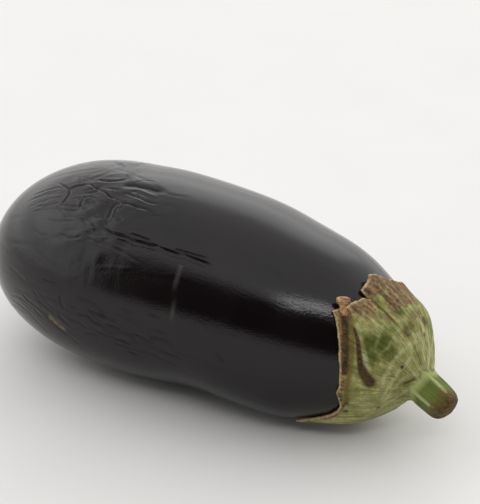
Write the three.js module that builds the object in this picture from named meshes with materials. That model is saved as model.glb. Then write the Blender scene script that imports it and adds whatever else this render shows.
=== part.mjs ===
// An eggplant lying on its side: a glossy dark fruit, the leathery lobed calyx over its stem end,
// and the short ridged stem. Millimetres, +Z up, +X runs along the fruit towards the stem.
// The origin is the middle of the small flat spot on the belly that the fruit rests on.
import * as THREE from 'three';

// Fruit
const fruitLength = 185;
const girth = [41.2, 4.8, -1.7, 0.2, -2.0];   // radius as a cosine series, from blossom end to stem end
const endBluntness = 0.9;                      // power of the sine that closes both ends
const droopDegrees = 2.4; // the stem end hangs lower than the blossom end
const bowUp = 4.6;                             // rise of the middle of the axis
const bowBack = 1.3;                           // sideways bow of the axis, away from the front
const axisHeight = 39.2;                       // blossom end above the surface
const restFromBlossom = 91;                    // flat spot's middle, along the length
const restSideways = 1.4;

// Swellings and hollows of the fruit: place along the axis (0 to 1), place round it (degrees, 90 is
// the top, 180 the front), reach along, reach round, and rise of the skin.
const swells = [
  { along: 0.07, round: 205, reachAlong: 0.06, reachRound: 40, rise: 1.2 },    // blossom end, low front
  { along: 0.32, round: 62, reachAlong: 0.05, reachRound: 40, rise: -0.5 },    // dent by the wrinkles
  { along: 0.52, round: 275, reachAlong: 0.14, reachRound: 34, rise: 0.9 },    // belly it rests on
  { along: 0.55, round: 232, reachAlong: 0.09, reachRound: 38, rise: -2.1 },   // front waist
  { along: 0.72, round: 55, reachAlong: 0.08, reachRound: 45, rise: -1.4 },    // back shoulder hollow
  { along: 0.76, round: 236, reachAlong: 0.06, reachRound: 38, rise: 1.5 },    // swelling by the calyx
];

// Calyx: how far each lobe tip, tear and valley of its rim reaches along the fruit (1 is the stem end)
const rimPoints = [
  { round: 4, reach: 0.846 },     // lobe on the far side
  { round: 28, reach: 0.888 },
  { round: 50, reach: 0.898 },
  { round: 66, reach: 0.897 },    // valley behind the lifted lobe
  { round: 79, reach: 0.881 },
  { round: 91, reach: 0.857 },    // lifted torn lobe on top
  { round: 105, reach: 0.865 },
  { round: 110, reach: 0.883 },   // tear
  { round: 115, reach: 0.870 },
  { round: 125, reach: 0.857 },
  { round: 131, reach: 0.839 },   // dried curled tip
  { round: 136, reach: 0.851 },
  { round: 150, reach: 0.869 },
  { round: 168, reach: 0.879 },
  { round: 183, reach: 0.881 },   // shallow front valley
  { round: 204, reach: 0.880 },
  { round: 214, reach: 0.871 },
  { round: 222, reach: 0.850 },
  { round: 231, reach: 0.786 },   // long lower lobe
  { round: 241, reach: 0.812 },
  { round: 254, reach: 0.858 },
  { round: 272, reach: 0.878 },
  { round: 302, reach: 0.824 },   // lobe under the far side
  { round: 332, reach: 0.884 },
];
const lobeMiddles = [4, 88, 131, 185, 231, 302];
const skinGap = 0.35;             // clearance to the fruit
const rimThickness = 1.1;
const bodyThickness = 2.9;
const thicknessRun = 0.32;        // share of the way from rim to stem over which it thickens
const neckThinning = 1.1;         // it thins again by this much between there and the neck
const shoulder = { middle: 50, width: 30, share: 0.76, reach: 0.16, rise: 1.1 };   // bulge at the far side
const ribHeight = 0.8;
const ribWidth = 9;               // degrees
// Lobes that lift off the fruit: middle and width in degrees, height of the lifted edge
const curls = [
  { middle: 54, width: 20, lift: 0.5 },
  { middle: 88, width: 12, lift: 1.4 },
  { middle: 128, width: 6, lift: 2.6 },
];
const curlStart = 0.72;           // share of the way from stem to rim

// Neck of the calyx, where the stem grows out of it, low on the front of the fruit's end
const neckFromEnd = 0.14;         // radians off the fruit's end
const neckRound = 206;            // degrees
const neckShare = 0.36;           // share of the way to the rim where the neck starts to rise
const neckRise = 2.8;             // neck's face above the fruit
const neckRadius = 6.9;

// Stem
const stemLean = new THREE.Vector3(0, 0, -0.12);       // turn of its root against the skin
const stemBend = new THREE.Vector3(0, 0, -0.06);       // turn of its tip against its root
const stemRootRun = 7;
const stemTipRun = 8;
const stemRidges = 5;
const firstRidge = 30;            // degrees
const ridgeShare = 0.07;          // ridge height as a share of the radius
const stemGap = 0.3;
// Radius along the stem, from the neck to the healed round end
const stemProfile = [
  { share: 0.0, radius: 6.9 },
  { share: 0.15, radius: 6.5 },
  { share: 0.4, radius: 6.4 },
  { share: 0.64, radius: 6.2 },
  { share: 0.8, radius: 5.7 },
  { share: 0.91, radius: 4.5 },
  { share: 0.98, radius: 2.4 },
];

// Facets
const fruitRings = 36;
const fruitSides = 44;
const calyxSides = 72;
const calyxInnerRings = 9;
const calyxOuterRings = 9;
const stemSides = 30;

const halfTurnDegrees = 180;
const fullTurn = 2 * Math.PI;
const axisY = new THREE.Vector3(0, 1, 0);
const { degToRad, euclideanModulo, lerp, radToDeg, smoothstep } = THREE.MathUtils;

function bell(distance, reach) {
  return Math.exp(-((distance / reach) ** 2));
}

// Difference between two angles in degrees, up to half a turn either way
function turnBetween(a, b) {
  return euclideanModulo(a - b + halfTurnDegrees, 2 * halfTurnDegrees) - halfTurnDegrees;
}

function radiusAt(polar, roundDegrees) {
  const along = (1 - Math.cos(polar)) / 2;
  let series = 0;
  girth.forEach((amount, order) => {
    series += amount * Math.cos(order * polar);
  });
  let radius = Math.sin(polar) ** endBluntness * series;
  for (const swell of swells) {
    const side = bell(turnBetween(roundDegrees, swell.round), swell.reachRound);
    radius += swell.rise * side * bell(along - swell.along, swell.reachAlong) * Math.sin(polar);
  }
  return radius;
}

// From the fruit's own axis to the lying part
function layDown(point) {
  point.applyAxisAngle(axisY, degToRad(droopDegrees));
  point.x -= restFromBlossom;
  point.y -= restSideways;
  point.z += axisHeight;
  return point;
}

// A point of the fruit's skin. polar runs from 0 at the blossom end to pi at the stem end.
function skinPoint(polar, round) {
  const along = (1 - Math.cos(polar)) / 2;
  const bow = 4 * along * (1 - along);
  const radius = radiusAt(polar, radToDeg(round));
  const y = bowBack * bow + radius * Math.cos(round);
  const z = bowUp * bow + radius * Math.sin(round);
  return layDown(new THREE.Vector3(along * fruitLength, y, z));
}

// Direction square to the skin
function skinNormal(polar, round) {
  const step = 0.002;
  const held = Math.min(polar, Math.PI - 2 * step);
  const across = skinPoint(held, round + step).sub(skinPoint(held, round - step));
  const onward = skinPoint(held + step, round).sub(skinPoint(held - step, round));
  return across.cross(onward).normalize();
}

function liftedPoint(polar, round, lift) {
  return skinPoint(polar, round).addScaledVector(skinNormal(polar, round), lift);
}

// A closed solid from a start point, rings of equal count and an end point
function closedForm(start, rings, end) {
  const sides = rings[0].length;
  const points = [start, ...rings.flat(), end];
  const index = [];
  const at = (ring, side) => 1 + ring * sides + (side % sides);
  const last = points.length - 1;
  for (let side = 0; side < sides; side += 1) {
    index.push(0, at(0, side + 1), at(0, side));
    for (let ring = 0; ring + 1 < rings.length; ring += 1) {
      index.push(at(ring, side), at(ring, side + 1), at(ring + 1, side));
      index.push(at(ring, side + 1), at(ring + 1, side + 1), at(ring + 1, side));
    }
    index.push(at(rings.length - 1, side), at(rings.length - 1, side + 1), last);
  }
  const geometry = new THREE.BufferGeometry().setFromPoints(points);
  geometry.setIndex(index);
  geometry.computeVertexNormals();
  return geometry;
}

function ringOf(sides, pointAt) {
  return Array.from({ length: sides }, (_, side) => pointAt((side * fullTurn) / sides));
}

function makeFruit() {
  const rings = [];
  for (let ring = 1; ring < fruitRings; ring += 1) {
    const polar = (ring * Math.PI) / fruitRings;
    rings.push(ringOf(fruitSides, (round) => {
      const point = skinPoint(polar, round);
      point.z = Math.max(point.z, 0);
      return point;
    }));
  }
  return closedForm(skinPoint(0, 0), rings, skinPoint(Math.PI, 0));
}

// How far from the fruit's end the calyx reaches at an angle, in radians
function rimFromEnd(round) {
  const degrees = radToDeg(round);
  const count = rimPoints.length;
  const next = rimPoints.findIndex((point) => point.round > degrees);
  const after = rimPoints[next < 0 ? 0 : next];
  const before = rimPoints[next <= 0 ? count - 1 : next - 1];
  const span = turnBetween(after.round, before.round);
  const share = smoothstep(turnBetween(degrees, before.round) / span, 0, 1);
  return Math.PI - Math.acos(1 - 2 * lerp(before.reach, after.reach, share));
}

// A place on the fruit's end as a flat map: distance from the end in radians, turned to its angle
function mapPlace(fromEnd, round) {
  return new THREE.Vector2(fromEnd * Math.cos(round), fromEnd * Math.sin(round));
}

const neckPlace = mapPlace(neckFromEnd, degToRad(neckRound));

// The calyx spreads from the neck's middle (share 0) to its rim (share 1)
function calyxPoint(share, round, lift) {
  const place = neckPlace.clone().lerp(mapPlace(rimFromEnd(round), round), share);
  return liftedPoint(Math.PI - place.length(), place.angle(), lift);
}

// Lift of the curled lobes off the fruit
function curlRise(share, round) {
  let rise = 0;
  for (const curl of curls) {
    rise += curl.lift * bell(turnBetween(radToDeg(round), curl.middle), curl.width);
  }
  return rise * smoothstep(share, curlStart, 1) ** 2;
}

function calyxThickness(share, round) {
  const fromRim = 1 - share;
  const grown = lerp(rimThickness, bodyThickness, smoothstep(fromRim, 0, thicknessRun));
  const thinned = neckThinning * smoothstep(fromRim, thicknessRun, 1 - neckShare);
  const side = bell(turnBetween(radToDeg(round), shoulder.middle), shoulder.width);
  return grown - thinned + shoulder.rise * side * bell(share - shoulder.share, shoulder.reach);
}

// A rib runs from the stem to each lobe's tip and fades out there
function ribRise(share, round) {
  let rise = 0;
  for (const middle of lobeMiddles) {
    rise = Math.max(rise, bell(turnBetween(radToDeg(round), middle), ribWidth));
  }
  return ribHeight * rise * (1 - share);
}

const neckNormal = skinNormal(Math.PI - neckFromEnd, degToRad(neckRound));
const stemRootDirection = neckNormal.add(stemLean).normalize();
const stemTipDirection = stemRootDirection.clone().add(stemBend).normalize();
const neckCentre = calyxPoint(0, 0, neckRise);

// A point of a ridged section across the stem
function sectionPoint(centre, normal, radius, round) {
  const across = axisY.clone().addScaledVector(normal, -axisY.dot(normal)).normalize();
  const upward = normal.clone().cross(across);
  const ridged = radius * (1 + ridgeShare * Math.cos(stemRidges * (round - degToRad(firstRidge))));
  return centre.clone()
    .addScaledVector(across, ridged * Math.cos(round))
    .addScaledVector(upward, ridged * Math.sin(round));
}

function makeCalyx() {
  const rings = [];
  for (let ring = 1; ring <= calyxInnerRings; ring += 1) {
    const share = ring / calyxInnerRings;
    rings.push(ringOf(calyxSides, (round) => calyxPoint(share, round, skinGap + curlRise(share, round))));
  }
  for (let ring = 0; ring <= calyxOuterRings; ring += 1) {
    const share = lerp(1, neckShare, ring / calyxOuterRings);
    rings.push(ringOf(calyxSides, (round) => {
      const relief = calyxThickness(share, round) + curlRise(share, round) + ribRise(share, round);
      return calyxPoint(share, round, skinGap + relief);
    }));
  }
  rings.push(ringOf(calyxSides, (round) => sectionPoint(neckCentre, stemRootDirection, neckRadius, round)));
  return closedForm(calyxPoint(0, 0, skinGap), rings, neckCentre);
}

function makeStem() {
  const root = neckCentre.clone().addScaledVector(stemRootDirection, stemGap);
  const bend = root.clone().addScaledVector(stemRootDirection, stemRootRun);
  const tip = bend.clone().addScaledVector(stemTipDirection, stemTipRun);
  const path = new THREE.QuadraticBezierCurve3(root, bend, tip);
  const rings = stemProfile.map(({ share, radius }) => {
    const centre = path.getPoint(share);
    const normal = path.getTangent(share);
    return ringOf(stemSides, (round) => sectionPoint(centre, normal, radius, round));
  });
  return closedForm(root, rings, tip);
}

function piece(name, geometry, color, roughness) {
  const material = new THREE.MeshStandardMaterial({ color, roughness, metalness: 0 });
  const mesh = new THREE.Mesh(geometry, material);
  mesh.name = name;
  return mesh;
}

const eggplant = new THREE.Group();
eggplant.add(
  piece('fruit', makeFruit(), 0x1d1719, 0.25),
  piece('calyx', makeCalyx(), 0x8c9a5c, 0.75),
  piece('stem', makeStem(), 0x7a8a48, 0.75),
);

export default eggplant;
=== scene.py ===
"""An eggplant lying on a pale floor: waxy dark skin with age wrinkles, a torn leathery calyx, a ridged stem.

Shapes are worked out in millimetres from the same formula as the solids, and become metres in make_mesh.
"""

import math

import bpy
import numpy as np
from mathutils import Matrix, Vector, noise
from mathutils.bvhtree import BVHTree


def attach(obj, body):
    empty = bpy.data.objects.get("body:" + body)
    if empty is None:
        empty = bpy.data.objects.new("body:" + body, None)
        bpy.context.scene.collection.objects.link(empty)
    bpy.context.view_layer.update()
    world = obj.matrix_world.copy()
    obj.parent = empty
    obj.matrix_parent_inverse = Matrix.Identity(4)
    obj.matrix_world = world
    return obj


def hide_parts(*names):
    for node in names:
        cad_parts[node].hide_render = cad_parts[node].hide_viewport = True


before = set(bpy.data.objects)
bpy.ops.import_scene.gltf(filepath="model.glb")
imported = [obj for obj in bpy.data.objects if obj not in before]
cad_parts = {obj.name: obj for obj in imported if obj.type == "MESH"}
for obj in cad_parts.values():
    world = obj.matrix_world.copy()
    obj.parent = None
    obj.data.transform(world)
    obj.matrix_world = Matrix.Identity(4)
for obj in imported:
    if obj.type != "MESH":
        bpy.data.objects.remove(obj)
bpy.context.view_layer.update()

MM = 0.001
SEED = 7
FULL_TURN = 2.0 * math.pi
IMAGE_WIDTH = 480
IMAGE_HEIGHT = 504

# Camera, in the photograph's viewing angle
CAMERA_AZIMUTH = math.radians(28.0)
CAMERA_ELEVATION = math.radians(30.0)
CAMERA_DISTANCE = 620.0
CAMERA_TARGET = np.array([17.4, -1.4, 60.1])
FOCAL_PIXELS = 1647.0
SENSOR_MM = 36.0

# Fruit, as in the solids
FRUIT_LENGTH = 185.0
GIRTH = (41.2, 4.8, -1.7, 0.2, -2.0)
END_BLUNTNESS = 0.9
DROOP = math.radians(2.4)
BOW_UP = 4.6
BOW_BACK = 1.3
AXIS_HEIGHT = 39.2
REST_FROM_BLOSSOM = 91.0
REST_SIDEWAYS = 1.4

# Swellings: place along the axis, place round it in degrees, reach along, reach round, rise
SWELLS = (
    (0.07, 205, 0.06, 40, 1.2),
    (0.32, 62, 0.05, 40, -0.5),
    (0.52, 275, 0.14, 34, 0.9),
    (0.55, 232, 0.09, 38, -2.1),
    (0.72, 55, 0.08, 45, -1.4),
    (0.76, 236, 0.06, 38, 1.5),
)

# Calyx rim: angle in degrees, reach along the fruit
RIM_POINTS = (
    (4, 0.846), (28, 0.888), (50, 0.898), (66, 0.897), (79, 0.885), (91.5, 0.865), (98, 0.867), (103, 0.869),
    (107, 0.870), (108.6, 0.888), (110.6, 0.878), (116, 0.869), (121, 0.861), (125.5, 0.857), (129, 0.8465),
    (131, 0.839), (135.4, 0.850), (141, 0.8595), (151.5, 0.8695), (168, 0.879), (182.5, 0.8815), (189, 0.877),
    (194, 0.8795), (203, 0.8815), (213, 0.8735), (220.5, 0.855), (224.6, 0.8335), (227.7, 0.808),
    (230.5, 0.786), (241, 0.812), (254, 0.858), (272, 0.878), (302, 0.824), (332, 0.884),
)
# The front stretch of the rim that is torn least
CLEAN_EDGE_MIDDLE = 178.0
CLEAN_EDGE_WIDTH = 42.0
LOBE_MIDDLES = (4, 88, 131, 185, 231, 302)
SKIN_GAP = 0.35
RIM_THICKNESS = 1.1
BODY_THICKNESS = 2.9
THICKNESS_RUN = 0.32
NECK_THINNING = 1.1
# Bulge at the far side: middle and width in degrees, share of the way to the rim, its reach, rise
SHOULDER = (50, 30, 0.76, 0.16, 1.1)
RIB_HEIGHT = 0.8
RIB_WIDTH = 9.0
# Lobes that lift off the fruit: middle and width in degrees, height of the lifted edge
CURLS = ((54, 20, 0.5), (92, 10, 1.9), (128, 6, 0.8))
CURL_START = 0.72
NECK_FROM_END = 0.14
NECK_ROUND = math.radians(206)
NECK_SHARE = 0.36
NECK_RISE = 2.8

# Stem
STEM_LEAN = np.array([0.0, 0.0, -0.12])
STEM_BEND = np.array([0.0, 0.0, -0.06])
STEM_ROOT_RUN = 7.0
STEM_TIP_RUN = 8.0
STEM_RIDGES = 5
FIRST_RIDGE = math.radians(30)
RIDGE_SHARE = 0.07
# Share of the stem's length, radius there
STEM_PROFILE = (
    (0.0, 6.9), (0.15, 6.5), (0.4, 6.4), (0.64, 6.2), (0.8, 5.7), (0.91, 4.5), (0.98, 2.4), (1.0, 0.0),
)

# Creases of the skin that the photograph shows: depth and half width in mm, then points in its pixels.
# A negative depth is a raised fold.
CREASES = (
    (0.62, 0.42, ((60, 183), (64, 186), (69, 189), (75, 186.5), (82, 185), (91, 184))),
    (0.66, 0.42, ((87, 184.5), (92, 185), (97, 188), (103, 191), (107, 193), (110, 196), (117, 199))),
    (0.46, 0.40, ((70, 189), (69.5, 194), (66, 199), (60, 206.5))),
    (0.22, 0.40, ((62, 204), (53, 203), (46, 205), (34, 207))),
    (0.36, 0.55, ((96, 180), (106, 181), (117, 181), (128, 178))),
    (-0.16, 0.38, ((71, 198), (80, 196), (92, 195.5), (103, 198))),
    (0.22, 0.38, ((71, 199.5), (80, 197.5), (92, 197))),
    (0.28, 0.38, ((79, 209), (80.5, 205), (83.5, 199), (87, 196))),
    (-0.14, 0.38, ((60, 207.5), (71, 208.5), (81, 208.5))),
    (0.20, 0.38, ((62, 209.5), (71, 210.5), (81, 210))),
    (0.16, 0.38, ((86, 202), (92, 203), (98, 202.5))),
    (0.18, 0.38, ((94, 217), (101, 217.5), (108, 218.5))),
    (0.16, 0.40, ((72, 216), (82, 219), (91, 222), (97, 228))),
    (-0.16, 0.80, ((87, 224), (91, 226), (95, 229))),
    (0.40, 0.42, ((107, 220), (109.5, 214), (112, 208), (116, 204), (122, 203.5))),
    (-0.18, 0.45, ((111.5, 216), (114, 209), (117.5, 205.5))),
    (0.30, 0.40, ((118, 202.5), (131, 205), (143, 209), (157, 213))),
    (-0.12, 0.40, ((119, 205), (131, 207.5), (143, 211.5))),
    (0.30, 0.40, ((124, 193), (137, 197), (148, 202), (161, 204))),
    (-0.14, 0.40, ((126, 192), (138, 195.5), (150, 200.5))),
    (0.26, 0.40, ((103, 190), (113, 197), (122, 201), (140, 207), (156, 210))),
    (0.20, 0.38, ((106, 188), (112, 189), (120, 190))),
    (0.38, 1.70, ((120, 184), (136, 186), (150, 189), (166, 194))),
    (-0.16, 0.50, ((121, 189), (131, 189.5), (141, 190.5), (158, 197))),
    (0.75, 0.46, ((103, 228), (113, 233), (120, 235), (126, 237), (132, 240), (140, 243))),
    (0.62, 0.44, ((136, 241.5), (143, 242.5), (150, 245), (160, 247))),
    (0.46, 0.42, ((158, 247), (170, 251.5), (178, 254), (184, 254.5), (190, 257), (202, 262), (213, 266))),
    (0.28, 0.40, ((122, 233), (131, 234), (142, 238), (154, 242))),
    (0.26, 0.40, ((168, 249), (184, 252), (196, 256), (211, 260))),
    (0.22, 0.50, ((61, 295), (61, 302), (64.5, 309))),
    (0.11, 0.50, ((64.5, 309), (75, 312), (89, 316))),
    (0.14, 0.60, ((23, 295), (36, 306), (49, 317))),
    (0.11, 0.55, ((36, 293), (51, 299), (61, 303))),
    (0.09, 0.55, ((77, 297), (92, 303), (103, 308))),
    (0.14, 0.55, ((85, 313), (92, 318), (104, 322))),
    (0.13, 0.55, ((108, 327), (121, 332), (133, 334), (146, 338))),
    (0.11, 0.60, ((15, 299), (28, 311), (40, 324), (52, 335))),
    (0.10, 0.55, ((118, 329), (137, 336), (157, 341))),
    (0.09, 0.60, ((128, 348), (151, 353), (168, 361), (184, 367))),
    (0.24, 0.40, ((32, 196), (48, 190), (60, 187.5), (67, 189))),
    (0.22, 0.40, ((27, 202), (46, 195), (67, 193))),
    (0.20, 0.40, ((27, 208), (46, 200), (66, 196.5))),
    (0.18, 0.40, ((40, 208), (52, 205), (61, 202))),
    (0.16, 0.40, ((30, 212), (46, 209), (60, 210))),
    (0.20, 0.40, ((80, 176), (80.5, 180), (81, 184.5))),
    (-0.14, 1.00, ((86, 181), (92, 177), (103, 173), (118, 167), (134, 164))),
    (-0.18, 1.30, ((126, 176), (134, 171), (141, 167))),
    (-0.10, 0.80, ((92, 182), (110, 175), (128, 172))),
    (0.12, 0.45, ((44, 219), (60, 221), (79, 221))),
    (-0.12, 0.42, ((94, 268), (110, 267), (126, 268.5), (136, 268))),
    (-0.45, 5.00, ((116, 164), (128, 163), (140, 165))),
)
PUCKER_PLACE = (98, 208)
PUCKER_REACH = 20.0
STREAK_PLACE = (76, 248)
STREAK_REACH = 22.0
SCAR_LINE = ((50, 318), (56, 323), (63, 329))
SCAR_HALF_WIDTH = 1.5

# Raised veins and folds of the calyx: rise and half width in mm, paleness, then points in pixels
CALYX_FOLDS = (
    (0.35, 0.80, 0.7, ((357.5, 325), (361.5, 340), (364, 354), (366, 365), (370, 370))),
    (0.30, 0.70, 0.8, ((415, 340), (405, 349), (394.5, 360.5), (386.5, 373), (382, 385))),
    (0.30, 0.65, 0.8, ((410.5, 358), (402.5, 367.5), (394.5, 378), (387.5, 389.5), (382, 397.5))),
    (0.28, 0.60, 0.8, ((416.5, 374.5), (407.5, 375.5), (399, 382.5), (391, 391.5), (384, 400))),
    (0.28, 0.70, 0.7, ((418.5, 380), (409.5, 388), (399, 395), (387.5, 403), (375, 409), (361, 412))),
    (0.25, 0.70, 0.5, ((411.5, 396), (400, 402), (389, 408.5), (375, 415), (358, 417.5))),
    (0.40, 0.70, 0.9, ((428, 370), (428.5, 356), (427.5, 342.5), (424, 331), (417.5, 319.5))),
    (0.30, 0.60, 0.8, ((423, 367.5), (424, 354), (421, 342.5), (414, 334))),
    (0.40, 0.70, 0.9, ((432, 367), (434, 354), (432.5, 338))),
    (0.18, 0.60, 0.5, ((389, 303), (384.5, 319.5), (379.5, 335.5), (375, 349))),
    (0.18, 0.60, 0.5, ((405, 319.5), (399, 328.5), (393.5, 340), (384.5, 351.5))),
    (0.15, 0.50, 0.5, ((372, 318), (377, 328), (379, 342))),
    (0.15, 0.50, 0.4, ((360, 306), (370, 316), (384, 322))),
    (0.15, 0.50, 0.5, ((396, 340), (404, 344), (413, 352))),
)
# Pale places: place in pixels, half width in mm, paleness
PALE_PATCHES = (
    ((431, 350), 5.0, 0.8), ((420, 345), 4.0, 0.5), ((398, 322), 4.0, 0.5), ((366, 405), 5.0, 0.4),
)
YELLOW_STRIP = ((350, 318), (352, 335), (351.5, 352), (349.5, 370), (346.5, 387), (346, 402))
YELLOW_HALF_WIDTH = 1.5
YELLOW_RISE = 0.3
BROWN_BAND = ((344, 313), (345.5, 330), (346, 347), (345.5, 362), (344.5, 372))
BROWN_HALF_WIDTH = 1.5
BROWN_DEPTH = 0.25
# The split beside the front edge, from its thin top to the blot at its foot
STREAK = ((354, 328), (358, 342), (359.5, 356), (361, 366), (365, 376), (370, 383))
STREAK_HALF_WIDTHS = (0.3, 0.8, 1.0, 1.2, 2.0, 2.4)
STREAK_DEPTH = 0.55
# Green hollows: place in pixels, half width and depth in mm
HOLLOWS = (
    ((374, 358), 3.4, 0.5), ((389, 354), 4.2, 0.6), ((380, 345), 5.5, 0.4), ((399, 311), 3.0, 0.2),
    ((367, 345), 3.0, 0.3),
)
# Brown marks: place in pixels, half width in mm, strength
STAINS = (
    ((424.5, 321.5), 2.6, 0.58), ((407, 332), 2.6, 0.6), ((410, 327), 2.0, 0.5), ((421, 363), 1.8, 0.4),
    ((402, 367), 0.7, 0.8), ((346.5, 403), 1.3, 0.8), ((346, 411), 1.2, 0.8), ((378, 407.5), 0.9, 0.6),
    ((358, 416), 0.7, 0.5), ((381, 317), 0.9, 0.45), ((398, 345), 0.8, 0.4), ((352, 387), 0.6, 0.4),
    ((366, 312), 1.4, 0.4), ((424, 335), 1.0, 0.5), ((419, 312), 1.6, 0.45), ((349, 320), 1.3, 0.5),
)
STAIN_DASH = ((403.5, 384), (409, 381.5), (414, 379))
STAIN_DASH_HALF_WIDTH = 0.45
# A healed ring-shaped bite
RING_PLACE = (411, 325.5)
RING_RADIUS = 1.1
RING_HALF_WIDTH = 1.0
# Where the rim dried: middle and width in degrees, reach as a share of the calyx
DRY_LOBES = ((80.0, 30.0, 0.3), (125.0, 16.0, 0.1))
DRY_RIM = 0.04
# Half width in mm of the painted highlight along the rim's lip
EDGE_HALF_WIDTH = 0.35
# Root of the dried tip that curls up
TIP_ROOT = (344, 313)


def bell(distance, reach):
    return np.exp(-((distance / reach) ** 2))


def smooth(value, start, end):
    share = np.clip((value - start) / (end - start), 0.0, 1.0)
    return share * share * (3.0 - 2.0 * share)


def turn_between(a, b):
    """Difference between two angles in degrees, up to half a turn either way."""
    return (a - b + 180.0) % 360.0 - 180.0


def unit(vectors):
    return vectors / np.linalg.norm(vectors, axis=-1, keepdims=True)


def skin_point(polar, round_angle):
    """Point of the smooth skin. polar runs from 0 at the blossom end to pi at the stem end."""
    along = (1.0 - np.cos(polar)) / 2.0
    series = sum(amount * np.cos(order * polar) for order, amount in enumerate(GIRTH))
    sine = np.clip(np.sin(polar), 0.0, 1.0)
    radius = sine ** END_BLUNTNESS * series
    degrees = np.degrees(round_angle)
    for place, side, reach_along, reach_round, rise in SWELLS:
        near = bell(turn_between(degrees, side), reach_round) * bell(along - place, reach_along)
        radius = radius + rise * sine * near
    bow = 4.0 * along * (1.0 - along)
    x = along * FRUIT_LENGTH
    y = BOW_BACK * bow + radius * np.cos(round_angle)
    z = BOW_UP * bow + radius * np.sin(round_angle)
    lying_x = x * math.cos(DROOP) + z * math.sin(DROOP) - REST_FROM_BLOSSOM
    lying_z = z * math.cos(DROOP) - x * math.sin(DROOP) + AXIS_HEIGHT
    return np.stack(np.broadcast_arrays(lying_x, y - REST_SIDEWAYS, lying_z), axis=-1)


def skin_normal(polar, round_angle):
    step = 0.002
    held = np.clip(polar, 2.0 * step, math.pi - 2.0 * step)
    across = skin_point(held, round_angle + step) - skin_point(held, round_angle - step)
    onward = skin_point(held + step, round_angle) - skin_point(held - step, round_angle)
    return unit(np.cross(across, onward))


def lifted_point(polar, round_angle, lift):
    return skin_point(polar, round_angle) + skin_normal(polar, round_angle) * np.asarray(lift)[..., None]


def grid_faces(rows, columns, first=0):
    """Faces of a grid that closes round its columns, seen from outside."""
    row, column = np.meshgrid(np.arange(rows - 1), np.arange(columns), indexing="ij")
    after = (column + 1) % columns
    below = row * columns
    above = below + columns
    corners = (below + column, below + after, above + after, above + column)
    return (np.stack(corners, axis=-1).reshape(-1, 4) + first).tolist()


def closed_form(start, grid, end):
    """Points and faces of a closed form from a start point, rings of equal count and an end point."""
    rows, columns = grid.shape[:2]
    points = np.concatenate([[start], grid.reshape(-1, 3), [end]])
    faces = grid_faces(rows, columns, 1)
    last_ring = 1 + (rows - 1) * columns
    for column in range(columns):
        after = (column + 1) % columns
        faces.append((0, 1 + after, 1 + column))
        faces.append((last_ring + column, last_ring + after, len(points) - 1))
    return points, faces


def make_mesh(name, points, faces, marks):
    """Object from points in mm. marks are values at each point that the material reads."""
    mesh = bpy.data.meshes.new(name)
    mesh.from_pydata((points * MM).tolist(), [], faces)
    for mark, values in marks.items():
        if values.ndim == 2:
            layer = mesh.attributes.new(mark, "FLOAT_VECTOR", "POINT")
            layer.data.foreach_set("vector", (values * MM).astype(np.float32).reshape(-1))
        else:
            layer = mesh.attributes.new(mark, "FLOAT", "POINT")
            layer.data.foreach_set("value", np.clip(values, 0.0, 1.0).astype(np.float32))
    mesh.shade_smooth()
    mesh.update()
    piece = bpy.data.objects.new(name, mesh)
    bpy.context.collection.objects.link(piece)
    return piece


# Where a pixel of the photograph meets a surface
VIEW_BACK = np.array([
    math.sin(CAMERA_AZIMUTH) * math.cos(CAMERA_ELEVATION),
    -math.cos(CAMERA_AZIMUTH) * math.cos(CAMERA_ELEVATION),
    math.sin(CAMERA_ELEVATION),
])
VIEW_RIGHT = np.array([math.cos(CAMERA_AZIMUTH), math.sin(CAMERA_AZIMUTH), 0.0])
VIEW_UP = np.cross(VIEW_BACK, VIEW_RIGHT)
CAMERA_PLACE = CAMERA_TARGET + VIEW_BACK * CAMERA_DISTANCE


def on_surface(tree, pixels):
    """Points of a surface under pixels, with pixels that miss it left out."""
    found = []
    for x, y in pixels:
        across = VIEW_RIGHT * (x - IMAGE_WIDTH / 2) / FOCAL_PIXELS
        upward = VIEW_UP * (IMAGE_HEIGHT / 2 - y) / FOCAL_PIXELS
        hit = tree.ray_cast(Vector(CAMERA_PLACE), Vector(unit(across + upward - VIEW_BACK)))[0]
        if hit is not None:
            found.append(np.array(hit))
    return np.array(found)


def smooth_line(points, spacing=0.8):
    """Curve through the points, as closely spaced points."""
    points = np.asarray(points, float)
    if len(points) < 3:
        points = np.linspace(points[0], points[-1], 3)
    padded = np.concatenate([[2 * points[0] - points[1]], points, [2 * points[-1] - points[-2]]])
    line = []
    for before, a, b, after in zip(padded, padded[1:], padded[2:], padded[3:]):
        count = max(2, int(np.linalg.norm(b - a) / spacing))
        share = np.linspace(0.0, 1.0, count, endpoint=False)[:, None]
        bend = 2.0 * before - 5.0 * a + 4.0 * b - after
        twist = 3.0 * a - before - 3.0 * b + after
        line.append(0.5 * (2.0 * a + (b - before) * share + bend * share ** 2 + twist * share ** 3))
    return np.concatenate(line + [points[-1:]])


def near_line(points, line, reach):
    """Which points are near a line, how far off they are, and how far along it, from 0 to 1."""
    inside = np.all((points > line.min(axis=0) - reach) & (points < line.max(axis=0) + reach), axis=-1)
    near = np.nonzero(inside)[0]
    distance = np.full(len(near), np.inf)
    along = np.zeros(len(near))
    lengths = np.concatenate([[0.0], np.cumsum(np.linalg.norm(np.diff(line, axis=0), axis=1))])
    for a, b, start, end in zip(line, line[1:], lengths, lengths[1:]):
        step = b - a
        share = np.clip((points[near] - a) @ step / max(step @ step, 1e-9), 0.0, 1.0)
        gap = np.linalg.norm(points[near] - a - share[:, None] * step, axis=1)
        closer = gap < distance
        distance[closer] = gap[closer]
        along[closer] = (start + (end - start) * share[closer]) / lengths[-1]
    return near, distance, along


def away(points, centre):
    return np.linalg.norm(points - centre, axis=1)


# Shape of a crease: sharpness of its cleft, height of its lips, share of its length in which each end fades
CLEFT_SHARPNESS = 1.4
LIP_SHARE = 0.25
FADE_SHARE = 0.2


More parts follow.
